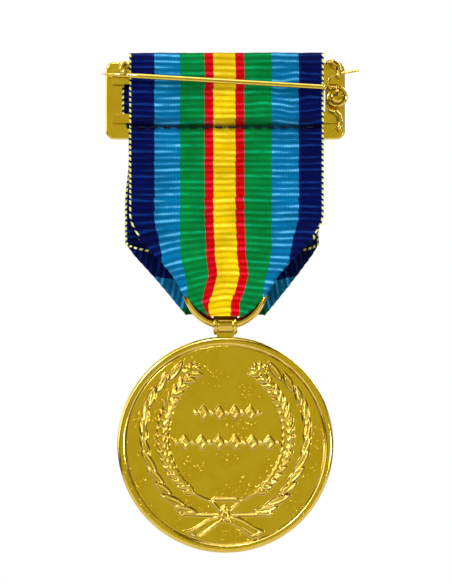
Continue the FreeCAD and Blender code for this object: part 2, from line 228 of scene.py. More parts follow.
def spread(start, arc):
    """Distances from the middle for half a row: the flat panel, the rolled edge and what is under."""
    start = min(start, RIBBON_HALF - 0.3)
    arc_end = min(start + arc, RIBBON_HALF - 0.1)
    panel = np.linspace(0.0, start, PANEL_COLUMNS)
    roll = np.linspace(start, arc_end, ROLL_COLUMNS + 1)[1:]
    margin = np.linspace(arc_end, RIBBON_HALF, MARGIN_COLUMNS + 1)[1:]
    return np.concatenate([panel, roll, margin])


def ripple(u, v):
    """Small uneven waves, between -1 and 1, that no row repeats."""
    broad = np.sin(0.31 * u + 0.53 * v) * np.sin(0.17 * v - 0.43 * u + 1.1)
    fine = np.sin(1.3 * u - 0.8 * v + 0.4) * np.sin(0.9 * u + 1.7 * v)
    return 0.6 * broad + 0.4 * fine


def back_fold(z, heights, widths):
    """The back layer's turned-under edge at a height: edge, squeeze, curl, radius and normal."""
    edge = np.interp(z, heights, widths) if z < heights[-1] else RIBBON_HALF
    curl = step(RIBBON_HALF - edge, 1.2, 2.4)
    radius = ROLL + 0.12 * step(-z, 20.0, 26.0)
    return edge, pinch(edge), curl, radius, (1.0, 0.0)


def front_fold(z):
    """The front layer's folded corner at a height: edge, squeeze, curl, radius and normal."""
    slope = np.array(SHOULDER) - np.array(FLAP_FOOT)
    slope /= np.hypot(*slope)
    edge = SHOULDER[0] + (z - SHOULDER[1]) * (slope[0] / slope[1])
    rounding = max(1.0 - abs(edge - RIBBON_HALF) / 1.6, 0.0)
    edge = min(edge, RIBBON_HALF) - 0.4 * rounding ** 2
    curl = step(-z, 21.2, 23.2)
    return edge, 0.0, curl, ROLL, (slope[1], -slope[0])


def ribbon_row(side, y, z, heights, widths):
    """One row of the ribbon: cloth distance across, and the row's points."""
    edge, squeezed, curl, radius, normal = back_fold(z, heights, widths) if side < 0 else front_fold(z)
    start = edge - radius / normal[0]
    arc = math.pi * radius / normal[0]
    start_cloth = start + squeezed
    half = spread(start_cloth if curl > 0 else RIBBON_HALF, arc)
    flat = half - squeezed * step(half, 0.5 * start_cloth, min(start_cloth, RIBBON_HALF))
    if curl > 0:
        beyond = (half - start_cloth) * normal[0]
        room = max(start - 0.4, 0.05)
        under = max(RIBBON_HALF - start_cloth - arc, 0.01)
        squeeze = min(1.0, room / under) if side < 0 else 1.0
        along, depth = rolled(beyond, max(curl, 0.02), squeeze, radius)
        kept = np.maximum(beyond, 0.0)
        x = flat - kept * normal[0] + along * normal[0]
        dz = (along - kept) * normal[1]
        if side > 0:
            y = front_depth(z + dz)
    else:
        x = flat
        depth = np.zeros_like(half)
        dz = np.zeros_like(half)
    points = np.stack([x, y - side * depth, z + dz], axis=1)
    mirror = points[:0:-1] * np.array([-1.0, 1.0, 1.0])
    across = np.concatenate([-half[:0:-1], half])
    points = np.concatenate([mirror, points])
    points[:, 0] += slide(side, z)
    return across, points


def thick_sheet(middle, across, along, shade, amount=1.0):
    """Both faces and the rim of a ribbed sheet about a grid of middle points."""
    rows, columns, _ = middle.shape
    number = np.round(along / RIB_PITCH)
    uneven = 0.86 + 0.14 * np.sin(number * 2.4) * np.sin(number * 0.7 + across * 0.35)
    crest = np.abs(np.cos(math.pi * along / RIB_PITCH)) ** 0.8 * uneven
    bead = np.clip((np.abs(across) - RIBBON_HALF + SELVAGE) / 0.15, 0.0, 1.0)
    twist = 0.5 + 0.5 * np.sin(2 * math.pi * along / DASH_PITCH + across * DASH_SLANT)
    half = RIBBON_CORE + amount * (RIB_HEIGHT * crest * (1 - bead) + bead * (0.02 + 0.04 * twist))
    down = np.gradient(middle, axis=0)
    right = np.gradient(middle, axis=1)
    normal = np.cross(down, right)
    normal /= np.maximum(np.linalg.norm(normal, axis=2, keepdims=True), 1e-9)
    front = (middle + normal * half[..., None]).reshape(-1, 3)
    back = (middle - normal * half[..., None]).reshape(-1, 3)
    count = rows * columns
    faces = grid_faces(rows, columns) + grid_faces(rows, columns, count, flip=True)
    top = np.arange(columns)
    right_side = np.arange(1, rows) * columns + columns - 1
    bottom = np.arange(columns - 2, -1, -1) + (rows - 1) * columns
    left_side = np.arange(rows - 2, 0, -1) * columns
    loop = np.concatenate([top, right_side, bottom, left_side])
    after = np.roll(loop, -1)
    faces += np.stack([after, loop, loop + count, after + count], axis=1).tolist()
    values = {
        "across": np.tile(across.ravel(), 2),
        "along": np.tile(along.ravel(), 2),
        "crest": np.tile(crest.ravel(), 2),
        "shade": np.tile(shade.ravel(), 2),
    }
    return np.concatenate([front, back]), faces, values


def clear_of_eye(points):
    """Draws the turned-under cloth in towards the ring's centre, so that the eye can swing past.

    Cloth more than 50 degrees from straight below that centre stays where it is."""
    up = points[..., 2] - RING_CENTRE
    radius = np.hypot(points[..., 0], up)
    depth = np.abs(points[..., 1]) - RIBBON_CORE - RIB_HEIGHT
    eye_reach = np.sqrt(np.maximum(EYE_RADIUS ** 2 - np.maximum(depth, 0.0) ** 2, 0.0))
    room = EYE_ARC - EYE_ROOM - eye_reach
    in_the_way = (depth < EYE_RADIUS) & (up < 0) & (points[..., 1] < 0) & (radius > room)
    turn = np.degrees(np.arctan2(np.abs(points[..., 0]), -up))
    reached = step(-turn, -50.0, -40.0)
    share = np.where(in_the_way, 1.0 - reached * (1.0 - room / np.maximum(radius, 1.0)), 1.0)
    points[..., 0] *= share
    points[..., 2] = RING_CENTRE + up * share


def ribbon_shade(side, z):
    """Painted shade for each row: dark at the seam and just above it, and dimmer where the corners fold.
    """
    over_seam = z - SEAM_HEIGHT
    # Painted shade in the seam's crease, with a wider, weaker band of it just above.
    seam = np.exp(-(over_seam / 0.33) ** 2)
    above = step(over_seam, 0.0, 0.1) * (1.0 - step(over_seam, 0.4, 1.9))
    shade = np.where(side < 0, 1.0 - 0.88 * seam - 0.55 * above * (1 - seam), 1.0)
    # Painted shade on the front layer below the shoulders, where its corners fold.
    return shade * (1.0 - 0.35 * step(-z, 14.0, 20.0) * (side > 0))


def ribbon_body():
    """The long sheet: back layer, over the bar, front layer and its folded corners."""
    at, side, y, z = ribbon_line()
    heights, widths = back_edge()
    rows = [ribbon_row(s, b, c, heights, widths) for s, b, c in zip(side, y, z)]
    across = np.array([row[0] for row in rows])
    middle = np.array([row[1] for row in rows])
    along = at[:, None] + rib_tilt(side[:, None], middle[..., 0], z[:, None])
    free = step(-middle[..., 2], 8.0, 12.0) * 0.6 + 0.4
    wave = ripple(across, along)
    middle[..., 2] += 0.07 * wave
    middle[..., 1] += 0.05 * free * ripple(across * 0.6 + 3.0, along * 0.5)
    near_ring = step(-middle[..., 2], 26.0, 32.0)
    droop = 0.35 * near_ring * (middle[..., 0] / 5.0) ** 2
    middle[..., 2] -= np.where(middle[..., 1] < 0, droop, 0.0)
    clear_of_eye(middle)
    pulled = 0.5 * step(-z, 23.0, 27.5) - 1.4 * step(-z, 26.5, 32.5)
    drift = np.where(side < 0, pulled - 0.33 * step(z, -24.0, -16.0), 0.0)
    inner = step(-np.abs(across), -9.0, -4.0)
    cloth = across - drift[:, None] * inner
    shade = np.repeat(ribbon_shade(side, z)[:, None], across.shape[1], axis=1)
    return thick_sheet(middle, cloth, along, shade)


def ribbon_saddle():
    """The turn of the ribbon through the ring, between the back layer's foot and the front layer's."""
    angles = np.radians(np.linspace(-66.0, 66.0, 49))
    depths = np.linspace(-1.80, 2.1, 31)
    depth, angle = np.meshgrid(depths, angles, indexing="ij")
    back_end = np.minimum(5.1, (RING_CENTRE - BACK_FOOT - 0.05) / np.cos(angle))
    front_end = np.minimum(5.3, (RING_CENTRE - FRONT_FOOT) / np.cos(angle))
    waist = 4.02
    behind = waist + (back_end - waist) * np.abs(depth / depths[0]) ** 2.8
    before = waist + (front_end - waist) * np.abs(depth / depths[-1]) ** 2.8
    radius = np.where(depth < 0, behind, before)
    middle = np.stack([radius * np.sin(angle), depth, RING_CENTRE - radius * np.cos(angle)], axis=2)
    # The turn through the ring gets an even painted shade: 0.6 times as light as open cloth.
    return thick_sheet(middle, middle[..., 0], depth, np.full_like(depth, 0.6), amount=0.6)


def make_ribbon(material):
    """One continuous ribbon, which replaces every plain CAD layer of it."""
    points, faces, values = ribbon_body()
    more_points, more_faces, more_values = ribbon_saddle()
    offset = len(points)
    faces = faces + [[corner + offset for corner in face] for face in more_faces]
    points = np.concatenate([points, more_points])
    piece = add_mesh("ribbon", points, faces, material)
    for name in values:
        set_attribute(piece, name, np.concatenate([values[name], more_values[name]]))
    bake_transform(piece)
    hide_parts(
        "ribbon_wrap", "ribbon_back", "ribbon_front",
        "left_fold_flap", "right_fold_flap", "ring_loop",
    )


# ================================================================ struck relief

def round_grid(count):
    """A square grid of points pressed into the unit circle, with even cells."""
    a, b = np.meshgrid(np.linspace(-1, 1, count), np.linspace(-1, 1, count), indexing="ij")
    wide = np.abs(a) > np.abs(b)
    safe_a = np.where(a == 0, 1e-12, a)
    safe_b = np.where(b == 0, 1e-12, b)
    radius = np.where(wide, a, b)
    angle = np.where(wide, math.pi / 4 * b / safe_a, math.pi / 2 - math.pi / 4 * a / safe_b)
    return radius * np.cos(angle), radius * np.sin(angle)


class Relief:
    """Heights in millimetres over points given as fractions of the medal's radius."""

    def __init__(self, x, z):
        self.x = x
        self.z = z
        self.height = np.zeros_like(x)

    def raise_to(self, value):
        self.height = np.maximum(self.height, value)

    def local(self, x, z, angle):
        """Distances along and across a direction from a centre, in millimetres."""
        dx = (self.x - x) * DISC_RADIUS
        dz = (self.z - z) * DISC_RADIUS
        return dx * math.cos(angle) + dz * math.sin(angle), dz * math.cos(angle) - dx * math.sin(angle)

    def leaf(self, x, z, angle, length, width, height, hollow=False):
        """A pointed leaf with a midrib, or only its raised outline."""
        along, across = self.local(x, z, angle)
        length, width = length * DISC_RADIUS, width * DISC_RADIUS
        edge = 0.5 * width * (1.0 - np.clip(np.abs(2 * along / length), 0, 1) ** 2.4)
        past = np.maximum(np.abs(along) - 0.5 * length, 0.0)
        outside = np.hypot(np.maximum(np.abs(across) - edge, 0.0), past)
        if hollow:
            line = np.hypot(np.abs(across) - edge, past)
            self.raise_to(height * np.exp(-(line / 0.14) ** 2))
            self.raise_to(0.52 * height * step(-outside, -0.1, 0.0))
        else:
            dome = 0.6 + 0.4 * (1 - np.clip(np.abs(across) / np.maximum(edge, 0.05), 0, 1) ** 2)
            vein = 0.35 * np.exp(-(across / 0.07) ** 2) * step(-past, -0.05, 0.0)
            self.raise_to(height * (dome - vein) * step(-outside, -0.14, 0.02))

    def stroke(self, points, width, height, edge=0.12):
        """A round-topped band along a line of points."""
        best = np.full_like(self.x, 1e9)
        for (ax, az), (bx, bz) in zip(points[:-1], points[1:]):
            dx, dz = bx - ax, bz - az
            t = np.clip(((self.x - ax) * dx + (self.z - az) * dz) / max(dx * dx + dz * dz, 1e-9), 0, 1)
            best = np.minimum(best, np.hypot(self.x - ax - t * dx, self.z - az - t * dz))
        gap = best * DISC_RADIUS - 0.5 * width * DISC_RADIUS
        self.raise_to(height * step(-gap, -edge, edge))

    def lozenge(self, x, z, wide, tall, height):
        """A four-sided facet."""
        reach = np.abs(self.x - x) / wide + np.abs(self.z - z) / tall
        self.raise_to(height * step(-reach, -1.0, -0.66) * (1.0 - 0.45 * step(-reach, -0.46, -0.30)))

    def bead(self, x, z, radius, height):
        gap = np.hypot(self.x - x, self.z - z) / radius
        self.raise_to(height * np.sqrt(np.clip(1.0 - gap ** 2, 0, 1)))


def on_wreath(side, angle, radius):
    """A point of a wreath, from the angle that it has climbed from straight down."""
    return side * radius * math.sin(angle), -radius * math.cos(angle)


def climbing(side, angle, lean):
    """The direction of a leaf that climbs a wreath, leaning outward."""
    heading = angle - lean
    return math.atan2(math.sin(heading), side * math.cos(heading))


def outer_wreath(relief, side):
    """Long slender leaves, one after another, close to the rim."""
    count = 11
    for i in range(count):
        angle = math.radians(32.0 + 11.4 * i)
        radius = 0.705 + 0.115 * step(math.degrees(angle), 60.0, 135.0)
        length = 0.20 - 0.05 * step(i, 7, 11) + 0.03 * math.sin(2.1 * i)
        x, z = on_wreath(side, angle, radius)
        relief.leaf(x, z, climbing(side, angle, math.radians(20.0)), length, 0.040, 0.34, hollow=True)


def inner_wreath(relief, side):
    """A feathery branch: a thin stem with small leaves in pairs."""
    stem = []
    count = 21
    for i in range(count):
        angle = math.radians(14.0 + 7.0 * i)
        radius = 0.53 + 0.19 * (max(math.degrees(angle) - 35.0, -20.0) / 120.0) ** 2
        x, z = on_wreath(side, angle, radius)
        stem.append((x, z))
        if i < 3:
            continue
        size = 0.085 + 0.03 * step(i, 3, 9)
        for turn in (-1.0, 1.0):
            lean = math.radians(8.0 + 30.0 * turn)
            heading = climbing(side, angle, lean)
            shift = 0.38 * size
            leaf_x = x + shift * math.cos(heading)
            leaf_z = z + shift * math.sin(heading)
            relief.leaf(leaf_x, leaf_z, heading, size, 0.040, 0.32)
    relief.stroke(stem, 0.012, 0.13, edge=0.08)


def branch_tip(relief, side):
    """A fan of five small leaves at the top of a branch."""
    reach = 0.04
    for turn in range(-2, 3):
        heading = math.radians(90.0 - side * (10.0 - 42.0 * turn))
        x = side * 0.31 + reach * math.cos(heading)
        z = 0.68 + reach * math.sin(heading)
        relief.leaf(x, z, heading, 0.09, 0.035, 0.32)


def bow(relief):
    """The ribbon bow that ties the two branches: loop, knot, stems and two tails."""
    left_loop = [(-0.05, -0.61), (-0.125, -0.525), (-0.10, -0.50)]
    right_loop = [(0.10, -0.50), (0.125, -0.525), (0.05, -0.61)]
    relief.stroke(left_loop + right_loop, 0.022, 0.26, edge=0.09)
    relief.stroke([(-0.04, -0.60), (0.0, -0.57), (0.04, -0.60)], 0.02, 0.22, edge=0.09)
    for side in (-1.0, 1.0):
        relief.stroke([(side * 0.06, -0.65), (side * 0.24, -0.647), (side * 0.40, -0.635)], 0.022, 0.24)
        relief.bead(side * 0.40, -0.632, 0.032, 0.30)
        relief.stroke([(side * 0.018, -0.60), (side * 0.018, -0.70)], 0.026, 0.34)
        mirror = np.array([side, 1.0])
        outer = bezier([(0.07, -0.67), (0.17, -0.68), (0.22, -0.76), (0.345, -0.80)], 9) * mirror
        inner = bezier([(0.05, -0.71), (0.11, -0.73), (0.16, -0.80), (0.25, -0.845)], 9) * mirror
        for line in (outer, inner, [outer[-1], inner[-1]]):
            relief.stroke(line, 0.018, 0.24, edge=0.08)
        relief.stroke((outer + inner) / 2, 0.05, 0.15, edge=0.10)
    relief.bead(0.0, -0.655, 0.045, 0.36)


def ornament_row(relief, centre, height, wide, count):
    """A row of lozenges with beads between them."""
    pitch = 2 * wide / count
    for i in range(count):
        x = centre - wide + pitch * (i + 0.5)
        relief.lozenge(x, height, 0.40 * pitch, 0.082, 0.30)
    for i in range(count + 1):
        relief.bead(centre - wide + pitch * i, height, 0.022, 0.20)


def reverse_relief(x, z):
    """The back of the medal: an open wreath, its bow and two rows of plain ornament."""
    relief = Relief(x, z)
    for side in (-1.0, 1.0):
        outer_wreath(relief, side)
        inner_wreath(relief, side)
        branch_tip(relief, side)
    bow(relief)
    ornament_row(relief, 0.015, 0.295, 0.29, 4)
    ornament_row(relief, 0.015, 0.02, 0.47, 6)
    return relief.height


def obverse_relief(x, z):
    """The front of the medal, of a plain design: a faceted rosette with rays, in a ring of beads."""
    relief = Relief(x, z)
    radius = np.hypot(x, z)
    angle = np.arctan2(z, x)
    ray_count = 48
    ray = 0.14 * (0.5 + 0.5 * np.cos(angle * ray_count))
    relief.raise_to(ray * step(radius, 0.46, 0.50) * step(-radius, -0.74, -0.70))
    points = 8
    sector = (angle + math.pi / 2) % (2 * math.pi / points) - math.pi / points
    reach = radius * (1.0 + 3.3 * np.abs(np.sin(sector)))
    relief.raise_to(0.55 * np.clip(1.0 - reach / 0.62, 0, 1) ** 0.9)
    for line in (0.48, 0.73):
        relief.raise_to(0.16 * np.exp(-((radius - line) / 0.012) ** 2))
    bead_count = 60
    bead_ring = 0.805
    for i in range(bead_count):
        turn = 2 * math.pi * i / bead_count
        relief.bead(bead_ring * math.cos(turn), bead_ring * math.sin(turn), 0.028, 0.22)
    return relief.height


def struck_field(x, z):
    """The slightly uneven field of a struck and polished disc."""
    return 0.004 * np.sin(9.0 * x + 4.0 * z + 0.6) * np.sin(7.0 * z - 5.0 * x)


def medal_face(count, relief, side):
    """One face as a grid: its points, its quads, the numbers of its rim points and its heights."""
    x, z = round_grid(count)
    fraction = FIELD_RADIUS / DISC_RADIUS
    x, z = x * fraction, z * fraction
    height = RELIEF_SCALE * (relief(x, z) + struck_field(x, z))
    depth = side * (FIELD_DEPTH + height)
    points = np.stack([x * DISC_RADIUS, depth, z * DISC_RADIUS + DISC_CENTRE], axis=2)
    last = count - 1
    index = np.arange(count * count).reshape(count, count)
    loop = np.concatenate([index[:-1, 0], index[last, :-1], index[:0:-1, last], index[0, :0:-1]])
    points.reshape(-1, 3)[loop, 1] = side * FIELD_DEPTH
    return points.reshape(-1, 3), grid_faces(count, count), loop, height.ravel()


def mark_relief(piece, height):
    """Gives each point its height above the field, by which the material paints shade at the relief's
    foot.
    """
    values = np.full(len(piece.data.vertices), -1.0)
    values[:len(height)] = height
    set_attribute(piece, "relief", values)


def rings_from(loop_points, profile):
    """Rings of points beside a loop, one at each radius and depth of a profile."""
    angle = np.arctan2(loop_points[:, 2] - DISC_CENTRE, loop_points[:, 0])
    rings = []
    for radius, depth in profile:
        x = radius * np.cos(angle)
        z = DISC_CENTRE + radius * np.sin(angle)
        rings.append(np.stack([x, np.full_like(angle, depth), z], axis=1))
    return rings


def join_rings(faces, first, start, rings, count):
    """Adds the quads from a loop through the rings that follow, and returns the last ring's numbers."""
    previous = np.asarray(first)
    for i in range(rings):
        current = start + i * count + np.arange(count)
        faces += np.stack(
            [previous, np.roll(previous, -1), np.roll(current, -1), current], axis=1
        ).tolist()
        previous = current
    return previous


def medal_piece(name, face, profile, material):
    """A closed mesh: a struck face, the rings of a profile beside it, and a flat cap in the disc."""
    points, faces, loop, height = face
    rings = rings_from(points[loop], profile)
    cap = join_rings(faces, loop, len(points), len(rings), len(loop))
    faces.append(cap.tolist())
    piece = add_mesh(name, np.concatenate([points] + rings), faces, material)
    mark_relief(piece, height)
    outward(piece)
    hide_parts("medal_disc")
    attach(piece, "medal")


def make_medal(material):
    """The struck disc: one mesh for its reverse face, and one for its body, rim and obverse face."""
    inner_lip = [(15.36, 0.77), (15.42, 0.84), (15.5, 0.95), (15.62, 1.04), (15.8, 1.09), (16.0, 1.1)]
    outer_lip = [(16.2, 1.09), (16.4, 1.04), (16.55, 0.93), (16.65, 0.78), (16.69, 0.6), (16.7, 0.3)]
    lip = inner_lip + outer_lip
    far_lip = [(radius, -depth) for radius, depth in reversed(lip)]
    inside = [(FIELD_RADIUS + 0.01, -FIELD_DEPTH), (FIELD_RADIUS, -0.5)]
    reverse = medal_face(REVERSE_GRID, reverse_relief, -1.0)
    obverse = medal_face(OBVERSE_GRID, obverse_relief, 1.0)
    medal_piece("medal_reverse", reverse, [(FIELD_RADIUS, -CAP_DEPTH)], material)
    medal_piece("medal_body", obverse, lip + far_lip + inside, material)


# ================================================================ wires

def tube(name, points, radii, material, closed=False, sides=20):
    """A round wire along points, with a radius at each."""
    points = np.asarray(points, float)
    radii = np.broadcast_to(np.asarray(radii, float), (len(points),))
    if closed:
        heading = np.roll(points, -1, axis=0) - np.roll(points, 1, axis=0)
    else:
        heading = np.gradient(points, axis=0)
    heading /= np.linalg.norm(heading, axis=1, keepdims=True)
    guide = np.array([0.0, 1.0, 0.0]) if abs(heading[0][1]) < 0.9 else np.array([1.0, 0.0, 0.0])
    vertices = []
    turn = np.linspace(0, 2 * math.pi, sides, endpoint=False)
    for point, direction, radius in zip(points, heading, radii):
        guide = guide - direction * guide.dot(direction)
        guide /= np.linalg.norm(guide)
        other = np.cross(direction, guide)
        ring = point + radius * (np.cos(turn)[:, None] * guide + np.sin(turn)[:, None] * other)
        vertices.append(ring)
    rows = len(points)
    vertices = np.concatenate(vertices)
    faces = []
    for i in range(rows if closed else rows - 1):
        here = i * sides + np.arange(sides)
        there = ((i + 1) % rows) * sides + np.arange(sides)
        faces += np.stack([here, np.roll(here, -1), np.roll(there, -1), there], axis=1).tolist()
    if not closed:
        faces.append(list(range(sides))[::-1])
        faces.append([(rows - 1) * sides + j for j in range(sides)])
    return add_mesh(name, vertices, faces, material)


def make_ring(material):
    """The suspension ring: round wire."""
    turn = np.linspace(0, 2 * math.pi, 144, endpoint=False)
    x = RING_MEAN * np.sin(turn)
    z = RING_CENTRE + RING_MEAN * np.cos(turn)
    points = np.stack([x, np.zeros_like(turn), z], axis=1)
    piece = tube("ring", points, RING_WIRE, material, closed=True, sides=32)
    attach(piece, "ring")
    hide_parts("suspension_ring")


# ================================================================ materials

def linear(red, green, blue):
    """A colour from 0 to 255 as the shaders want it."""
    values = []
    for value in (red, green, blue):
        value /= 255.0
        values.append(value / 12.92 if value <= 0.04045 else ((value + 0.055) / 1.055) ** 2.4)
    return (*values, 1.0)


class Graph:
    """A material's nodes, with short calls for those that the materials share."""

    def __init__(self, name):
        self.material = bpy.data.materials.new(name)
        self.material.use_nodes = True
        self.tree = self.material.node_tree
        self.shader = self.tree.nodes["Principled BSDF"]

    def feed(self, socket, value):
        if isinstance(value, bpy.types.NodeSocket):
            self.tree.links.new(value, socket)
        else:
            socket.default_value = value

    def add(self, kind, inputs=(), **settings):
        node = self.tree.nodes.new(kind)
        for key, value in settings.items():
            setattr(node, key, value)
        for key, value in dict(inputs).items():
            self.feed(node.inputs[key], value)
        return node

    def set(self, **values):
        for key, value in values.items():
            self.feed(self.shader.inputs[key.replace("_", " ").title().replace("Ior", "IOR")], value)

    def math(self, operation, *values):
        node = self.add("ShaderNodeMath", operation=operation)
        for socket, value in zip(node.inputs, values):
            self.feed(socket, value)
        return node.outputs[0]

    def place(self):
        return self.add("ShaderNodeTexCoord").outputs["Object"]

    def noise(self, scale, detail=2.0, stretch=(1.0, 1.0, 1.0)):
        spot = self.add("ShaderNodeMapping", {"Vector": self.place(), "Scale": stretch}).outputs[0]
        node = self.add("ShaderNodeTexNoise", {"Vector": spot, "Scale": scale, "Detail": detail})
        return node.outputs[0]

    def ramp(self, factor, stops, interpolation="LINEAR"):
        node = self.add("ShaderNodeValToRGB", {"Fac": factor})
        band = node.color_ramp
        band.interpolation = interpolation
        while len(band.elements) < len(stops):
            band.elements.new(1.0)
        for element, (position, colour) in zip(band.elements, stops):
            element.position = position
            element.color = colour if hasattr(colour, "__len__") else (colour, colour, colour, 1.0)
        return node.outputs["Color"]

    def mix(self, factor, a, b, blend="MIX"):
        node = self.add("ShaderNodeMix", data_type="RGBA", blend_type=blend)
        self.feed(node.inputs[0], factor)
        self.feed(node.inputs[6], a)
        self.feed(node.inputs[7], b)
        return node.outputs[2]

    def bump(self, height, distance, strength=1.0, normal=None):
        inputs = {"Height": height, "Distance": distance, "Strength": strength}
        node = self.add("ShaderNodeBump", inputs)
        if normal is not None:
            self.feed(node.inputs["Normal"], normal)
        return node.outputs[0]


GILT = linear(196, 165, 70)
GILT_WARM = linear(190, 157, 56)
# The dark brown of the painted shade in the gold's hollows and at the foot of the relief.
GILT_PAINTED_SHADE = linear(90, 52, 8)


def gilt(name, roughness, grain_scale, grain, struck=False, speck=0.0, scratch=0.0, soften=0.06):
    """Gold plate over brass: patches of tone, painted shade in the recesses, uneven polish and a fine
    grain.

    grain, speck, scratch and soften are lengths in millimetres. A struck piece has a relief attribute."""
    graph = Graph(name)
    patches = graph.ramp(graph.noise(260.0, 3.0), [(0.38, 0.0), (0.62, 1.0)])
    tone = graph.mix(patches, GILT, GILT_WARM)
    if struck:
        relief = graph.add("ShaderNodeAttribute", attribute_name="relief").outputs["Fac"]
        # Painted shade, dark brown, on the low slopes where the relief meets the field.
        foot = graph.ramp(relief, [(0.004, 0.0), (0.02, 0.85), (0.07, 0.85), (0.13, 0.0)])
        tone = graph.mix(foot, tone, GILT_PAINTED_SHADE)
    else:
        # Painted shade, dark brown, in hollows where the surface curves in, found by pointiness.
        pointiness = graph.add("ShaderNodeNewGeometry").outputs["Pointiness"]
        hollow = graph.ramp(pointiness, [(0.42, 0.6), (0.49, 0.0)])
        tone = graph.mix(hollow, tone, GILT_PAINTED_SHADE)
    streak = graph.noise(900.0, 4.0, (1.0, 1.0, 0.15))
    rough = graph.math("MULTIPLY_ADD", streak, 0.16, roughness - 0.08)
    fine = graph.noise(grain_scale, 3.0)
    edge = graph.add("ShaderNodeBevel", {"Radius": soften * MM}, samples=4).outputs[0]
    normal = graph.bump(fine, grain * MM, normal=edge)
    if speck:
        spots = graph.add("ShaderNodeTexVoronoi", {"Vector": graph.place(), "Scale": 2600.0})
        dots = graph.ramp(spots.outputs["Distance"], [(0.06, 1.0), (0.20, 0.0)])
        sparse = graph.ramp(graph.noise(260.0, 3.0), [(0.50, 0.0), (0.64, 1.0)])
        normal = graph.bump(graph.math("MULTIPLY", dots, sparse), speck * MM, normal=normal)
    if scratch:
        lines = graph.ramp(graph.noise(5200.0, 2.0, (0.03, 0.03, 1.0)), [(0.60, 0.0), (0.66, 1.0)])
        normal = graph.bump(lines, scratch * MM, normal=normal)
    graph.set(base_color=tone, metallic=1.0, roughness=rough, normal=normal)
    graph.set(coat_weight=0.5, coat_roughness=0.04)
    return graph.material


NAVY = linear(0, 5, 58)
LIGHT_BLUE = linear(0, 88, 132)
GREEN = linear(0, 99, 41)
RED = linear(166, 0, 4)
YELLOW = linear(192, 157, 0)
SELVAGE_PALE = linear(186, 184, 98)

# Where each stripe starts, as a share of the ribbon's half-width.
STRIPES = [(0.0, YELLOW), (0.112, RED), (0.202, GREEN), (0.472, LIGHT_BLUE), (0.74, NAVY)]
WARP_PITCH = 0.24  # millimetres


def stripes(graph, across, rib, number, jitter):
    """The five colours, in stripes whose edges step a little from rib to rib."""
    saw = graph.math("SUBTRACT", rib, number)
    shifted = graph.math("MULTIPLY_ADD", saw, 0.10, across)
    shifted = graph.math("MULTIPLY_ADD", graph.math("SUBTRACT", jitter, 0.5), 0.13, shifted)
    share = graph.math("DIVIDE", graph.math("ABSOLUTE", shifted), RIBBON_HALF)
    return graph.ramp(share, STRIPES, "CONSTANT")


def selvage(graph, across, along):
    """Where the dashed edge lies, and its colour: pale dashes on navy."""
    edge_share = graph.math("DIVIDE", graph.math("ABSOLUTE", across), RIBBON_HALF)
    edge = graph.ramp(edge_share, [(0.978, 0.0), (0.984, 1.0)])
    slant = graph.math("MULTIPLY", across, DASH_SLANT)
    twist = graph.math("SINE", graph.math("MULTIPLY_ADD", along, 2 * math.pi / DASH_PITCH, slant))
    dash = graph.ramp(graph.math("MULTIPLY_ADD", twist, 0.5, 0.5), [(0.30, 0.0), (0.50, 1.0)])
    return edge, graph.mix(dash, NAVY, SELVAGE_PALE)


def painted_crest_highlights(graph, colour, crest, warp, jitter):
    """The colour with painted highlights, bright and dashed, on the crests of the ribs."""
    # Where the painted highlight lies: near the top of each rib, broken up by noise and by the warp
    # threads.
    crest_highlight = graph.ramp(crest, [(0.74, 0.0), (0.93, 1.0)])
    highlight_breakup = graph.ramp(graph.noise(820.0, 4.0, (0.6, 1.0, 1.6)), [(0.36, 0.35), (0.58, 1.25)])
    dots = graph.math("MULTIPLY", graph.math("MULTIPLY_ADD", warp, 0.5, 0.75), highlight_breakup)
    # The painted highlight's colour: the colour screened on itself, made paler where it is blue.
    bright = graph.mix(1.0, colour, colour, "SCREEN")
    blueness = graph.add("ShaderNodeSeparateColor", {"Color": bright}).outputs["Blue"]
    blueness = graph.math("POWER", blueness, 2.0)
    pale = graph.mix(1.0, (0.49, 1.0, 0.92, 1.0), blueness, "MULTIPLY")
    light = graph.mix(1.0, graph.mix(1.0, bright, pale, "ADD"), (0.0, 0.012, 0.042, 1.0), "ADD")
    lively = graph.math("MULTIPLY_ADD", jitter, 0.5, 0.9)
    gleam = graph.math("MULTIPLY", graph.math("MULTIPLY", crest_highlight, lively), dots)
    return graph.mix(gleam, colour, light)


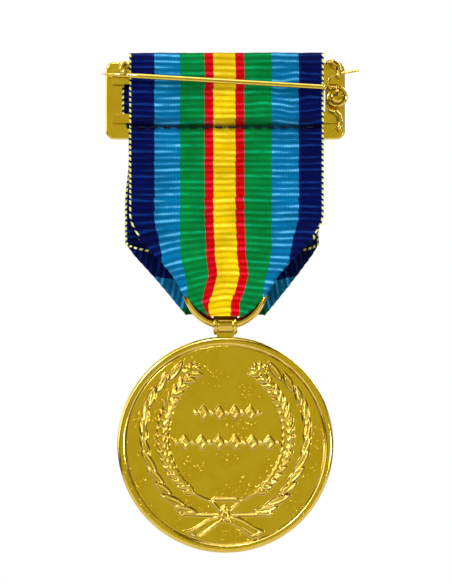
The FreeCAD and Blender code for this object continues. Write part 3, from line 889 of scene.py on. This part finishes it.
def ribbon_weave():
    """Ribbed ribbon: stripes, a dashed edge, painted shade in the grooves, warp threads, random patches
    of painted light and shade, and painted highlights on the crests.
    """
    graph = Graph("ribbon_weave")
    across, along, crest, shade = (
        graph.add("ShaderNodeAttribute", attribute_name=name).outputs["Fac"]
        for name in ("across", "along", "crest", "shade")
    )
    rib = graph.math("DIVIDE", along, RIB_PITCH)
    number = graph.math("ROUND", rib)
    white = graph.add("ShaderNodeTexWhiteNoise", {"W": number}, noise_dimensions="1D")
    jitter = white.outputs["Value"]
    warp = graph.math("SINE", graph.math("MULTIPLY", across, 2 * math.pi / WARP_PITCH))
    edge, thread = selvage(graph, across, along)
    colour = graph.mix(edge, stripes(graph, across, rib, number, jitter), thread)
    # Painted shade in the grooves between the ribs, times each row's painted shade; the dashed edge is
    # left out.
    groove = graph.math("MULTIPLY", graph.ramp(crest, [(0.08, 0.60), (0.60, 1.0)]), shade)
    colour = graph.mix(1.0, colour, graph.math("MAXIMUM", edge, groove), "MULTIPLY")
    # Random patches of painted light and shade across the cloth, times the fine lines of the warp
    # threads.
    patchy_light_and_shade = graph.ramp(graph.noise(220.0, 3.0), [(0.35, 0.82), (0.65, 1.14)])
    threads = graph.math("MULTIPLY", patchy_light_and_shade, graph.math("MULTIPLY_ADD", warp, 0.09, 1.0))
    colour = graph.mix(1.0, colour, threads, "MULTIPLY")
    colour = painted_crest_highlights(graph, colour, crest, warp, jitter)
    fibre = graph.noise(9000.0, 2.0, (1.0, 1.0, 0.2))
    height = graph.math("MULTIPLY_ADD", fibre, 0.5, graph.math("MULTIPLY", warp, 0.5))
    normal = graph.bump(height, 0.03 * MM, 0.8)
    graph.set(base_color=colour, roughness=0.45, normal=normal, specular_ior_level=0.02)
    return graph.material


def thread_material():
    """Twisted sewing thread, dark navy, darkened further as painted shade so that the stitches merge into
    the seam's crease.
    """
    graph = Graph("thread")
    ply = graph.noise(3000.0, 2.0, (1.0, 1.0, 2.5))
    graph.set(base_color=graph.mix(ply, linear(1, 3, 12), linear(5, 10, 30)), roughness=0.7)
    graph.set(normal=graph.bump(ply, 0.04 * MM), sheen_weight=0.03, specular_ior_level=0.1)
    return graph.material


def paper_material():
    """The pale floor."""
    graph = Graph("floor_paper")
    tone = graph.mix(graph.noise(40.0, 3.0), linear(214, 214, 212), linear(220, 220, 219))
    graph.set(base_color=tone, roughness=0.8)
    return graph.material


# ================================================================ studio

def make_camera():
    """A long lens straight in front of the reverse, level with the middle of the object."""
    distance = 500.0
    height_seen = 90.3  # what fits in the picture from top to bottom, at the object
    data = bpy.data.cameras.new("camera")
    data.sensor_fit = "VERTICAL"
    data.sensor_height = 24.0
    data.lens = data.sensor_height * distance / height_seen
    data.clip_start = 10.0 * MM
    camera = bpy.data.objects.new("camera", data)
    bpy.context.scene.collection.objects.link(camera)
    camera.location = (0.1 * MM, -distance * MM, -29.7 * MM)
    camera.rotation_euler = (math.radians(90.0), 0.0, 0.0)
    bpy.context.scene.camera = camera


WARM = (1.0, 0.98, 0.16)
NEUTRAL = (1.0, 0.85, 0.6)
COOL = (1.0, 1.0, 1.0)

# Towards the upper left, as the camera sees it.
BAND_AXIS = (-0.60, -0.1, 0.72)

# The surroundings in bands, from the lower right (0) to the upper left (1): place, brightness and tint.
SURROUNDINGS = [
    (0.0, 0.45, WARM),
    (0.24, 0.38, WARM),
    (0.28, 1.3, COOL),
    (0.33, 0.07, NEUTRAL),
    (0.41, 0.74, WARM),
    (0.62, 0.84, WARM),
    (0.68, 0.08, NEUTRAL),
    (0.73, 0.10, NEUTRAL),
    (0.79, 2.8, COOL),
    (0.87, 2.8, COOL),
    (0.93, 0.4, WARM),
    (1.0, 1.3, WARM),
]


def make_world():
    """Light from all round, in light and dark bands for the gold to mirror, on a white ground."""
    world = bpy.data.worlds.new("studio")
    bpy.context.scene.world = world
    world.use_nodes = True
    tree = world.node_tree
    background = tree.nodes["Background"]
    direction = tree.nodes.new("ShaderNodeTexCoord").outputs["Generated"]
    lean = tree.nodes.new("ShaderNodeVectorMath")
    lean.operation = "DOT_PRODUCT"
    lean.inputs[1].default_value = BAND_AXIS
    tree.links.new(direction, lean.inputs[0])
    spread_out = tree.nodes.new("ShaderNodeMath")
    spread_out.operation = "MULTIPLY_ADD"
    spread_out.inputs[1].default_value = 0.5
    spread_out.inputs[2].default_value = 0.5
    tree.links.new(lean.outputs["Value"], spread_out.inputs[0])
    band = tree.nodes.new("ShaderNodeValToRGB")
    while len(band.color_ramp.elements) < len(SURROUNDINGS):
        band.color_ramp.elements.new(1.0)
    for element, (position, value, tint) in zip(band.color_ramp.elements, SURROUNDINGS):
        element.position = position
        element.color = (value * tint[0], value * tint[1], value * tint[2], 1.0)
    tree.links.new(spread_out.outputs[0], band.inputs["Fac"])
    seen = tree.nodes.new("ShaderNodeLightPath").outputs["Is Camera Ray"]
    pick = tree.nodes.new("ShaderNodeMix")
    pick.data_type = "RGBA"
    pick.inputs[7].default_value = (1.0, 1.0, 1.0, 1.0)
    tree.links.new(seen, pick.inputs[0])
    tree.links.new(band.outputs["Color"], pick.inputs[6])
    tree.links.new(pick.outputs[2], background.inputs["Color"])


# The middle of the object, and each light's place, size and power.
MIDDLE = (0.0, 0.0, -30.0)
LIGHTS = {
    "key": ((-230.0, -330.0, 160.0), 80.0, 0.90),
    "glint": ((-60.0, -300.0, 290.0), 40.0, 0.60),
    "fill": ((230.0, -290.0, -80.0), 40.0, 0.45),
    "front": ((170.0, 330.0, 120.0), 160.0, 0.8),
}
LIGHT_TINT = (0.92, 1.0, 1.3)


def add_light(name, place, size, power):
    """A soft square light that faces the middle of the object."""
    data = bpy.data.lights.new(name, "AREA")
    data.shape = "SQUARE"
    data.size = size * MM
    data.energy = power
    data.color = LIGHT_TINT
    light = bpy.data.objects.new(name, data)
    bpy.context.scene.collection.objects.link(light)
    light.location = Vector(place) * MM
    light.rotation_euler = (Vector(MIDDLE) - Vector(place)).to_track_quat("-Z", "Y").to_euler()
    light.visible_camera = False


def make_floor(material):
    """A plain floor well below the hanging medal."""
    half = 170.0
    level = -110.0
    corners = [(-half, -half, level), (half, -half, level), (half, half, level), (-half, half, level)]
    floor = add_mesh("floor", corners, [[0, 1, 2, 3]], material, smooth=False)


make_camera()
make_world()
make_floor(paper_material())
for name, (place, size, power) in LIGHTS.items():
    add_light(name, place, size, power)

PLATE = gilt("gilt_plate", 0.17, 2500.0, 0.008, scratch=0.0012)
WIRE = gilt("gilt_wire", 0.11, 3500.0, 0.004)
STRUCK = gilt("gilt_struck", 0.12, 4200.0, 0.018, struck=True, speck=0.05, soften=0.02)
THREAD = thread_material()
NODE_MATERIALS = {
    "buckle_frame": PLATE,
    "ribbon_carrier": PLATE,
    "carrier_studs": PLATE,
    "catch_hook": WIRE,
    "upper_keeper": WIRE,
    "lower_keeper": WIRE,
    "pivot_post": WIRE,
    "spring_coil": WIRE,
    "pin_needle": WIRE,
    "suspension_eye": WIRE,
    "seam_stitches": THREAD,
}
for node, material in NODE_MATERIALS.items():
    slots = bpy.data.objects[node].data.materials
    slots.clear()
    slots.append(material)

make_ribbon(ribbon_weave())
make_medal(STRUCK)
make_ring(WIRE)

bpy.context.scene.view_settings.view_transform = "Standard"
